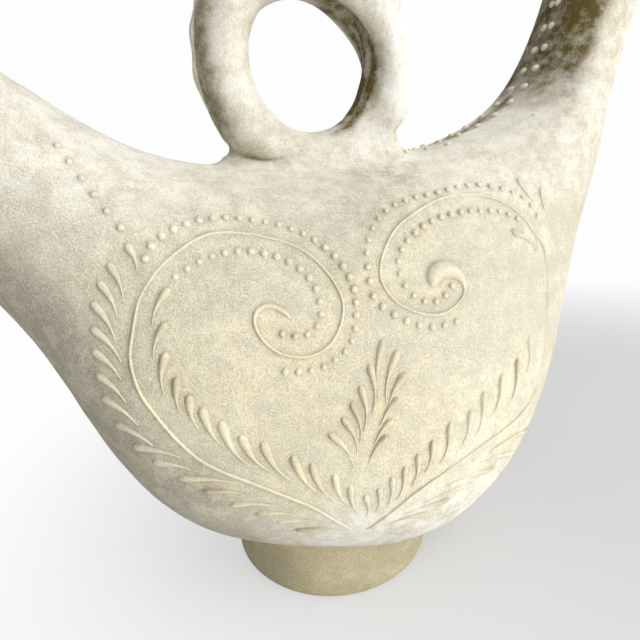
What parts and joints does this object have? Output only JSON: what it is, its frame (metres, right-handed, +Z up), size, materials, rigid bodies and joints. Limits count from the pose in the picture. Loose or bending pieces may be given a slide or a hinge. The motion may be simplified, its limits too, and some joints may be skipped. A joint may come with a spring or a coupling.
{
  "type": "hen-shaped clay pitcher",
  "caption": "Hollow hen-shaped water pitcher of pale unglazed clay with a ring handle on its back, a turned foot, a tail filler, a beak spout and slip-trailed scrolls.",
  "frame": {"origin": "on the table under the middle of the overall length, on the seam plane between the two body shells", "axes": "+X towards the beak, +Z up, +Y out of the back side"},
  "size_m": [0.4493, 0.1444, 0.3654],
  "materials": {
    "body_clay": "matt unglazed",
    "handle_clay": "matt unglazed",
    "foot_clay": "matt unglazed",
    "slip_relief": "matt unglazed"
  },
  "bodies": {
    "root": {"back_centre_spray": "slip_relief", "back_eye": "body_clay", "back_neck_scroll": "slip_relief", "back_tail_scroll": "slip_relief", "back_wattle": "body_clay", "beak_spout": "body_clay", "body_back_shell": "body_clay", "body_front_shell": "body_clay", "comb": "body_clay", "foot_pedestal": "foot_clay", "front_centre_spray": "slip_relief", "front_eye": "body_clay", "front_neck_scroll": "slip_relief", "front_tail_scroll": "slip_relief", "front_wattle": "body_clay", "handle_crimped_band": "handle_clay", "handle_ring": "handle_clay", "handle_saddle": "handle_clay", "head_shell": "body_clay", "neck_tube": "body_clay", "tail_filler": "body_clay", "tail_mouth_rim": "body_clay"}
  },
  "joints": []
}
